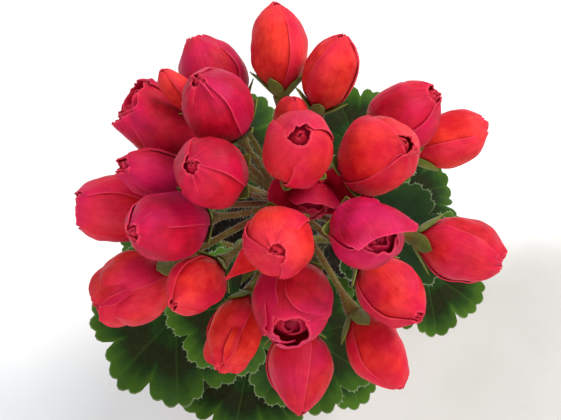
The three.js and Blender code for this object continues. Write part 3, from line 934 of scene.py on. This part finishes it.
# Loose petals: each starts at an angle round its blossom and a share up it, and bends outward
looseFlaps = {
    5: [{"angle": 232, "up": 0.2, "length": 21, "width": 14, "bend": (4, -30)}],
    6: [{"angle": 150, "up": 0.55, "length": 12, "width": 12, "bend": (8, 42)}],
    12: [
        {"angle": 340, "up": 0.3, "length": 19.5, "width": 16, "bend": (2, -30)},
        {"angle": 72, "up": 0.36, "length": 17.5, "width": 16, "bend": (2, -34)},
    ],
    14: [
        {"angle": 112, "up": 0.3, "length": 17.5, "width": 14, "bend": (12, -34)},
        {"angle": 20, "up": 0.34, "length": 16.5, "width": 13, "bend": (8, -30)},
    ],
    15: [{"angle": 216, "up": 0.12, "length": 17, "width": 12, "bend": (40, 62), "pointed": 0.9}],
    16: [
        {"angle": 60, "up": 0.5, "length": 13, "width": 14, "bend": (2, -25)},
        {"angle": 175, "up": 0.35, "length": 17, "width": 12, "bend": (12, -25)},
    ],
    18: [{"angle": 104, "up": 0.55, "length": 15.5, "width": 25, "bend": (16, -70), "blunt": 0.6}],
    19: [
        {"angle": 178, "up": 0.62, "length": 10, "width": 13, "bend": (25, 75)},
        {"angle": 12, "up": 0.4, "length": 17, "width": 17, "bend": (20, 75)},
        {"angle": 85, "up": 0.5, "length": 15, "width": 19, "bend": (12, -75), "blunt": 0.4},
    ],
    20: [{"angle": 296, "up": 0.28, "length": 20, "width": 15, "bend": (5, -32)}],
}


flapShape = {"across": 16, "along": 20, "bends": 12, "thickness": 0.3}


def addFlap(bm, bloom, flap, seed):
    part = newPart("petalMap", "ripe", "inside")
    ripe = part.verts.layers.float["ripe"]
    bmesh.ops.create_grid(part, x_segments=flapShape["across"], y_segments=flapShape["along"], size=1,
                          calc_uvs=True)
    bends = flapShape["bends"]
    start = bloomRadius(bloom, flap["up"]) - 0.4
    low, high = (math.radians(angle) for angle in flap["bend"])
    for vert in part.verts:
        across, up = vert.co.x, (vert.co.y + 1) / 2
        vert[ripe] = bloom["ripe"]
        out, tall = start, bloom["length"] * flap["up"]
        for i in range(bends):  # the middle line bends on, from its first heading to its last
            bend = low + (high - low) * (i + 0.5) / bends * up
            out += math.sin(bend) * flap["length"] * up / bends
            tall += math.cos(bend) * flap["length"] * up / bends
        wide = flap["width"] / 2 * (0.35 + 0.65 * math.sin(math.pi * min(0.16 + 0.68 * up, 0.74)))
        rounding = 1 - flap.get("blunt", 0)
        wide *= math.sqrt(max(1 - rounding * max(up - 0.72, 0) ** 2 / 0.085, 0.02))
        wide *= 1 - flap.get("pointed", 0) * smoothstep(up, 0.3, 1)
        side = across * wide
        hold = 1 - 0.7 * up  # the foot hugs the blossom, the tip is flatter
        wrap = side / max(start, 5)
        wave = 0.5 * noise.noise(Vector((across * 1.5, up * 2, seed)))
        cup = start * (math.cos(wrap) - 1) * hold + wave
        side = start * math.sin(wrap) * hold + side * (1 - hold)
        vert.co = Vector((out + cup, side, tall + 0.3 * math.sin(across * 3 + seed) * up))
    part.transform(Matrix.Rotation(math.radians(flap["angle"]), 4, "Z"))
    thicken(part, flapShape["thickness"])
    addTo(bm, part)


def makeBlossom(index, bloom, material):
    seed = index * 1.37
    draw = random.Random(700 + index)
    bm = newPart("petalMap", "ripe", "inside")
    addPetals(bm, bloom, outerPetal, bloomShape["outer"], seed, draw)
    if bloom["open"] > bloomShape["heart"]["openFrom"]:
        for layer in range(3 if bloom["open"] >= 0.4 else 2):
            look = dict(bloomShape["inner"], layer=layer)
            addPetals(bm, bloom, innerPetal, look, seed, draw, 0.25)
        addHeart(bm, bloom, seed)
    for flap in looseFlaps.get(index + 1, []):
        addFlap(bm, bloom, flap, seed)
    lift = Matrix.Translation((0, 0, stalkLength(bloom) + 0.35))
    bm.transform(headPlace() @ bloomPlace(bloom) @ lift)
    number = f"{index + 1:02d}"
    finishPiece(bm, f"tulip_bloom_{number}", [material], [f"blossom_{number}"], 75)


# Flower stalks with their calyces
calyxShape = {
    "sepals": 5,
    "clear": 0.35,
    "thickness": 0.35,
    "steps": 12,
    "hairs": 130,
    "hair": {"length": 1.1, "thickness": 0.03, "spread": 0.5},
}


def makeSepal(bloom, k, seed):
    part = newPart("stalkMap", "toneAndShade")
    layer = part.verts.layers.float["toneAndShade"]
    bmesh.ops.create_grid(part, x_segments=6, y_segments=10, size=1, calc_uvs=True)
    size = min(1, bloom["width"] / 16)
    tall = 0.29 * bloom["length"]
    for vert in part.verts:
        across, up = vert.co.x, (vert.co.y + 1) / 2
        wide = 36.5 * (1 - max(up - 0.22, 0) ** 1.25 / 0.733) + 0.6
        share = up * tall / bloom["length"]
        hug = bloomRadius(bloom, share) + bloomShape["lap"] * smoothstep(share, 0, 0.3)
        radius = max(hug + calyxShape["clear"] + 0.2, 1.9 * size) + 0.5 * smoothstep(up, 0.75, 1)
        radius += 0.25 * (1 - across**2) + 0.3 * noise.noise(Vector((up * 2, seed, k)))
        angle = math.radians(360 / calyxShape["sepals"] * k + across * wide)
        vert[layer] = 0.05 + 0.5 * smoothstep(0.6 - up, 0, 0.6)
        vert.co = Vector((radius * math.cos(angle), radius * math.sin(angle), up * tall - 0.6))
    thicken(part, calyxShape["thickness"])
    return part


def makeCalyx(bm, index, bloom, draw):
    tall = stalkLength(bloom)
    size = min(1, bloom["width"] / 16)
    place = headPlace() @ bloomPlace(bloom)
    steps = calyxShape["steps"]
    heights = [2.6 + (tall - 2.6) * i / steps for i in range(steps + 1)]
    bend = Vector((draw.uniform(-1, 1), draw.uniform(-1, 1), 0)) * 0.8
    points = [Vector((0, 0, h)) + bend * math.sin(math.pi * i / steps) for i, h in enumerate(heights)]
    radii = [0.9 + 0.15 * (1 - i / steps) for i in range(steps + 1)]
    radii[-3:] = [1.1, 1.8 * size, 2.6 * size]
    toneAndShade = [1 - 0.3 * i / steps for i in range(steps + 1)]
    part = growStalk(points, radii, 10, toneAndShade)
    part.transform(place)
    addTo(bm, part)
    lift = Matrix.Translation((0, 0, tall + 0.35))
    for k in range(calyxShape["sepals"]):
        part = makeSepal(bloom, k + 0.5, index * 2.1)
        part.transform(place @ lift)
        addTo(bm, part)
    roots = rootsAlong(points, radii, calyxShape["hairs"], draw, 0.1)
    addHairs(bm, draw, roots, calyxShape["hair"], 1, place)


umbelShape = {
    "radius": 2.2,
    "bow": 26,
    "steps": 24,
    "knuckle": 4.2,
    "bracts": 9,
    "bractWidth": 1.7,
    "bractThickness": 0.4,
    "hairs": 420,
    "hair": {"length": 1.3, "thickness": 0.035, "spread": 0.5},
}


# Small bracts under the knuckle that all blossom stalks leave
def makeBract(index):
    part = newPart("stalkMap", "toneAndShade")
    bmesh.ops.create_grid(part, x_segments=4, y_segments=8, size=1, calc_uvs=True)
    angle = math.radians(360 / umbelShape["bracts"] * index + 15 * math.sin(index * 5))
    for vert in part.verts:
        across, up = vert.co.x, (vert.co.y + 1) / 2
        wide = umbelShape["bractWidth"] * (1 - up**1.5) + 0.08
        radius = 2.4 + 5.5 * up
        side = Vector((-math.sin(angle), math.cos(angle), 0)) * across * wide
        out = Vector((radius * math.cos(angle), radius * math.sin(angle), -2.6 + 2.5 * up**2))
        vert.co = out + side
    thicken(part, umbelShape["bractThickness"])
    part.transform(headPlace())
    return part


def makeFlowerStalks(material, hair):
    draw = random.Random(11)
    bm = newPart("stalkMap", "toneAndShade")
    axis = (headPlace().to_3x3() @ Vector((0, 0, 1))).normalized()
    middle = Vector(umbel["middle"])
    heading = curveHeading(stems[0]["points"], 1)
    start = curvePoint(stems[0]["points"], 1) + heading * 0.1
    bow, steps = umbelShape["bow"], umbelShape["steps"]
    knots = (start, start + heading * bow, middle - axis * bow, middle + axis * 1.5)
    shares = [i / steps for i in range(steps + 1)]
    points = [bezierPoint(knots, share) for share in shares]
    foot = [0.5 * (1 - smoothstep(share, 0, 0.08)) for share in shares]
    head = [1.4 * smoothstep(share, 0.92, 1) for share in shares]
    radii = [umbelShape["radius"] + low + high for low, high in zip(foot, head)]
    addTo(bm, growStalk(points, radii, 14, [0.35 + 0.3 * share for share in shares]))
    addHairs(bm, draw, rootsAlong(points, radii, umbelShape["hairs"], draw), umbelShape["hair"], 1)
    part = newPart("stalkMap", "toneAndShade")
    bmesh.ops.create_icosphere(part, subdivisions=3, radius=umbelShape["knuckle"], matrix=headPlace(),
                               calc_uvs=True)
    addTo(bm, part)
    for index in range(umbelShape["bracts"]):
        addTo(bm, makeBract(index))
    for index, bloom in enumerate(blossoms):
        makeCalyx(bm, index, bloom, draw)
    finishPiece(bm, "umbel_stalks", [material, hair], ["flower_stalks"], 50)


# Leaves
leafShape = {
    "lobes": 7,
    "lobeAngle": 46,
    "teeth": 4,
    "stepsPerLobe": 16,
    "rings": 13,
    "thickness": 0.55,
    "stalkSteps": 20,
    "stalkHairs": 130,
    "stalkHair": {"length": 1.1, "thickness": 0.035, "spread": 0.5},
    "edgeHairs": 260,
    "edgeHair": {"length": 0.8, "thickness": 0.04, "spread": 0.6},
}


def leafReach(turn, seed):
    half = leafShape["lobes"] * leafShape["lobeAngle"] / 2
    phase = (turn + half) / leafShape["lobeAngle"]
    lobe = phase - math.floor(phase)
    rounded = 0.8 + 0.205 * math.sin(math.pi * lobe) ** 0.6
    tooth = abs(math.sin(math.pi * leafShape["teeth"] * lobe)) ** 0.8
    back = abs(turn) / half
    uneven = 0.03 * noise.noise(Vector((turn / 30, seed, 0)))
    return (rounded + 0.055 * (tooth - 0.6) + uneven) * (1 - 0.2 * back * back)


def leafLift(share, turn, radius, seed):
    wave = math.cos(math.radians(360 * turn / leafShape["lobeAngle"]))
    lift = 0.2 * share - 0.2 * share**2 - 0.045 * share**2 * wave
    ruffle = 0.035 * share**4 * math.sin(math.radians(turn * 9) + seed)
    ruffle += 0.02 * share**3 * math.sin(math.radians(turn * 5) + 2 * seed)
    pucker = 0.018 * noise.noise(Vector((share * 7, turn / 18, seed)))
    lobe = turn / leafShape["lobeAngle"]
    aside = abs(lobe - round(lobe)) * math.radians(leafShape["lobeAngle"]) * share
    vein = -0.022 * math.exp(-((aside / 0.03) ** 2)) * smoothstep(share, 0, 0.2) * (1 - 0.6 * share)
    return radius * (lift + ruffle + pucker * smoothstep(share, 0.1, 0.4) + vein)


# Painted shade: how dark each leaf is painted, darkest for leaves that sit in shade
paintedLeafShade = (0.45, 0.3, 0.35, 0.5, 0.3, 0.35, 1.0, 0.4, 0.5, 0.3, 0.4, 0.5, 0.4, 0.6)


def leafPlace(leaf):
    return (
        Matrix.Translation(leaf["at"])
        @ Matrix.Rotation(math.radians(leaf["heading"]), 4, "Z")
        @ Matrix.Rotation(math.radians(leaf["pitch"]), 4, "Y")
        @ Matrix.Rotation(math.radians(leaf["roll"]), 4, "X")
    )


def leafStalkCurve(leaf):
    stem = stems[leaf["stem"]]
    joint = curvePoint(stem["points"], leaf["up"])
    along = curveHeading(stem["points"], leaf["up"])
    meet = Vector(leaf["at"])
    outward = meet - joint
    outward = (outward - along * outward.dot(along)).normalized()
    thick = stem["foot"] + (stem["tip"] - stem["foot"]) * leaf["up"]
    start = joint + outward * (thick + 0.1)
    reach = (meet - start).length
    neck = meet - outward * 0.2 * reach - Vector((0, 0, 0.16 * reach))
    knots = (start, start + outward * 0.3 * reach, neck, meet)
    steps = leafShape["stalkSteps"]
    return [bezierPoint(knots, i / steps) for i in range(steps + 1)]


# A blade is a spun fan of rings; the shaping then cuts its lobes and teeth and lifts it
def makeBlade(index, leaf):
    seed = index * 2.3
    radius = leaf["radius"]
    half = leafShape["lobes"] * leafShape["lobeAngle"] / 2
    part = newPart("leafMap", "toneAndShade")
    part.loops.layers.uv.new("stalkMap")
    uv = part.loops.layers.uv["leafMap"]
    rings = leafShape["rings"]
    chain = [part.verts.new((0.04 + 0.96 * (i / rings) ** 0.9, 0, 0)) for i in range(rings + 1)]
    spokes = [part.edges.new(pair) for pair in zip(chain, chain[1:])]
    bmesh.ops.spin(part, geom=chain + spokes, cent=(0, 0, 0), axis=(0, 0, 1), angle=math.radians(2 * half),
                   steps=leafShape["lobes"] * leafShape["stepsPerLobe"])
    part.normal_update()
    if sum(face.normal.z for face in part.faces) < 0:
        bmesh.ops.reverse_faces(part, faces=part.faces)
    turns = {}
    for vert in part.verts:
        turn = math.degrees(math.atan2(vert.co.y, vert.co.x)) % 360 - half
        if turn > half + 1:
            turn = -half
        turns[vert] = (turn, vert.co.xy.length)
    for face in part.faces:
        for loop in face.loops:
            turn, share = turns[loop.vert]
            loop[uv].uv = (turn / 360 + 0.5, share)
    shade = part.verts.layers.float["toneAndShade"]
    rim = []
    for vert, (turn, share) in turns.items():
        # painted shade for this leaf
        vert[shade] = paintedLeafShade[index]
        out = share * leafReach(turn, seed) * radius
        across, aside = math.cos(math.radians(turn)), math.sin(math.radians(turn))
        vert.co = Vector((out * across, out * aside, leafLift(share, turn, radius, seed)))
        if share > 0.99:
            rim.append((vert.co.copy(), Vector((across, aside, 0.1))))
    thicken(part, leafShape["thickness"])
    part.transform(leafPlace(leaf))
    return part, rim


def makeLeaf(index, leaf, blade, stalk, hair):
    draw = random.Random(300 + index)
    bm = newPart("leafMap", "toneAndShade")
    bm.loops.layers.uv.new("stalkMap")
    part, rim = makeBlade(index, leaf)
    addTo(bm, part)
    steps = leafShape["stalkSteps"]
    points = leafStalkCurve(leaf)
    radii = [1.55 - 0.35 * i / steps for i in range(steps + 1)]
    radii[:2] = [2.1, 1.75]
    toneAndShade = [0.75 - 0.6 * i / steps for i in range(steps + 1)]
    addTo(bm, growStalk(points, radii, 12, toneAndShade), 1)
    roots = rootsAlong(points, radii, leafShape["stalkHairs"], draw)
    addHairs(bm, draw, roots, leafShape["stalkHair"], 2)
    roots = [draw.choice(rim) for _ in range(leafShape["edgeHairs"])]
    addHairs(bm, draw, roots, leafShape["edgeHair"], 2, leafPlace(leaf))
    number = f"{index + 1:02d}"
    finishPiece(bm, f"round_leaf_{number}", [blade, stalk, hair], [f"leaf_{number}"], 60)


# Stems
stemShape = {
    "steps": 44,
    "sides": 18,
    "scars": 5,
    "scarSwell": 0.45,
    "woody": (92, 150),
    "hairs": 160,
    "hair": {"length": 0.9, "thickness": 0.05, "spread": 0.5},
}


def makeStems(material, hair):
    draw = random.Random(5)
    bm = newPart("stalkMap", "toneAndShade")
    steps = stemShape["steps"]
    for index, stem in enumerate(stems):
        points = [curvePoint(stem["points"], i / steps) for i in range(steps + 1)]
        radii = []
        for i in range(steps + 1):
            share = i / steps
            scar = max(0, math.cos(math.radians(share * 360 * stemShape["scars"] + 40 * index))) ** 14
            thick = stem["foot"] + (stem["tip"] - stem["foot"]) * share
            radii.append(thick + stemShape["scarSwell"] * scar)
        radii[-1] *= 0.8
        woody = [1 - smoothstep(point.z, *stemShape["woody"]) for point in points]
        addTo(bm, growStalk(points, radii, stemShape["sides"], woody))
        roots = rootsAlong(points, radii, stemShape["hairs"], draw, 0.55)
        addHairs(bm, draw, roots, stemShape["hair"], 1)
    finishPiece(bm, "branching_stem", [material, hair], ["stem"], 50)


# Pot
potShape = {
    "profile": [
        (0, 0), (35.2, 0), (36.4, 0.4), (37, 1.5), (49.6, 74.5), (50.2, 75.6), (52.8, 75.9), (53.5, 76.9),
        (54.9, 94.6), (54.9, 96.4), (54.2, 97.6), (53.1, 98), (51.2, 98), (50.3, 97.5), (50, 96.4),
        (33.2, 9.2), (32, 7.6), (30, 7), (0, 7),
    ],
    "steps": 96,
    "holes": 4,
    "holeRadius": 4.5,
    "holeCircle": 20,
}


# The drainage holes as solid rods, to be cut away
def makeDrill():
    rods = bmesh.new()
    for k in range(potShape["holes"]):
        angle = math.radians(360 * (k + 0.5) / potShape["holes"])
        circle = potShape["holeCircle"]
        middle = Matrix.Translation((circle * math.cos(angle), circle * math.sin(angle), 3))
        bmesh.ops.create_cone(rods, cap_ends=True, segments=28, radius1=potShape["holeRadius"],
                              radius2=potShape["holeRadius"], depth=20, matrix=middle)
    return newObject("drill", meshFrom(rods, "drill"))


def makePot(material):
    bm = spunBody(potShape["profile"], potShape["steps"])
    for vert in bm.verts:  # thrown by hand: not quite even
        if vert.co.xy.length > 30:
            swell = 1 + 0.0035 * noise.noise(Vector((vert.co.x / 40, vert.co.y / 40, vert.co.z / 30)))
            vert.co.x *= swell
            vert.co.y *= swell
    pot = finishPiece(bm, "clay_pot", [material], ["pot"], 40)
    drill = makeDrill()
    cut = pot.modifiers.new("drainage", "BOOLEAN")
    cut.operation = "DIFFERENCE"
    cut.object = drill
    graph = bpy.context.evaluated_depsgraph_get()
    drilled = bpy.data.meshes.new_from_object(pot.evaluated_get(graph))
    pot.modifiers.remove(cut)
    pot.data = drilled
    pot.data.name = "clay_pot"
    bpy.data.objects.remove(drill)


# Compost
soilShape = {
    "top": 87,
    "edge": 47.4,
    "foot": 7.3,
    "steps": 96,
    "crumbs": (520, 0.7, 2.6),  # count, smallest, largest
    "grit": (70, 0.7, 1.7),
}


def soilHeight(x, y):
    broad = noise.noise(Vector((x / 14, y / 14, 3)))
    small = noise.noise(Vector((x / 4, y / 4, 8)))
    return soilShape["top"] + 1.3 * broad + 0.8 * small


def makeSoil(material, pale):
    draw = random.Random(23)
    noise.seed_set(23)  # without it, noise_vector differs from run to run
    edge = soilShape["edge"]
    foot, top = soilShape["foot"], soilShape["top"]
    profile = [(0, foot), (29.5, foot), (32.4, 9.8), (edge, top - 1.5)]
    profile += [(edge * (1 - i / 22), top) for i in range(23)]
    bm = spunBody(profile, soilShape["steps"])
    for vert in bm.verts:
        if vert.co.z > top - 0.1:
            vert.co.z = soilHeight(vert.co.x, vert.co.y)
    grit = bmesh.new()
    for target, sort in ((bm, "crumbs"), (grit, "grit")):
        count, low, high = soilShape[sort]
        bits = bmesh.new()
        for _ in range(count):
            angle = draw.uniform(0, 2 * math.pi)
            out = (edge - 3) * math.sqrt(draw.uniform(0.015, 1))
            x, y = out * math.cos(angle), out * math.sin(angle)
            size = draw.uniform(low, high)
            place = Matrix.Translation((x, y, soilHeight(x, y) + 0.25 * size))
            tumble = Quaternion((draw.uniform(-1, 1), draw.uniform(-1, 1), draw.uniform(-1, 1), 1))
            place = place @ tumble.normalized().to_matrix().to_4x4()
            place = place @ Matrix.Diagonal((1, draw.uniform(0.5, 1), draw.uniform(0.4, 0.8), 1))
            bmesh.ops.create_icosphere(bits, subdivisions=1, radius=size, matrix=place)
        for vert in bits.verts:
            vert.co += noise.noise_vector(vert.co / 1.1) * 0.35
        addTo(target, bits)
    finishPiece(bm, "potting_mix", [material], ["compost"], 60)
    finishGrit(grit, pale)


def finishGrit(bm, pale):
    piece = newObject("white_grit", meshFrom(bm, "white_grit", [pale]))
    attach(piece, "root")


# Floor
def makeFloor(material):
    bm = bmesh.new()
    bmesh.ops.create_grid(bm, x_segments=2, y_segments=2, size=floorLook["half"])
    floor = newObject("floor", meshFrom(bm, "floor", [material]))
    floor.location.z = -floorLook["below"] / 1000


placeCamera()
placeLights()
bpy.context.scene.view_settings.view_transform = "Standard"
tint, fibres = tintGroup(), fibreGroup()
petalFinish = petalMaterial(tint, fibres)
leafFinish = leafMaterial(tint, fibres)
stalkFinish = stalkMaterial(tint, fibres)
barkFinish = barkMaterial(tint, fibres)
hairFinish = hairMaterial()
print("materials made")
makeFloor(floorMaterial())
makePot(clayMaterial(tint))
makeSoil(soilMaterial(tint), perliteMaterial())
print("pot and compost made")
makeStems(barkFinish, hairFinish)
makeFlowerStalks(stalkFinish, hairFinish)
print("stems made")
for index, leaf in enumerate(leaves):
    makeLeaf(index, leaf, leafFinish, stalkFinish, hairFinish)
print("leaves made")
for index, bloom in enumerate(blossoms):
    makeBlossom(index, bloom, petalFinish)
print("blossoms made")
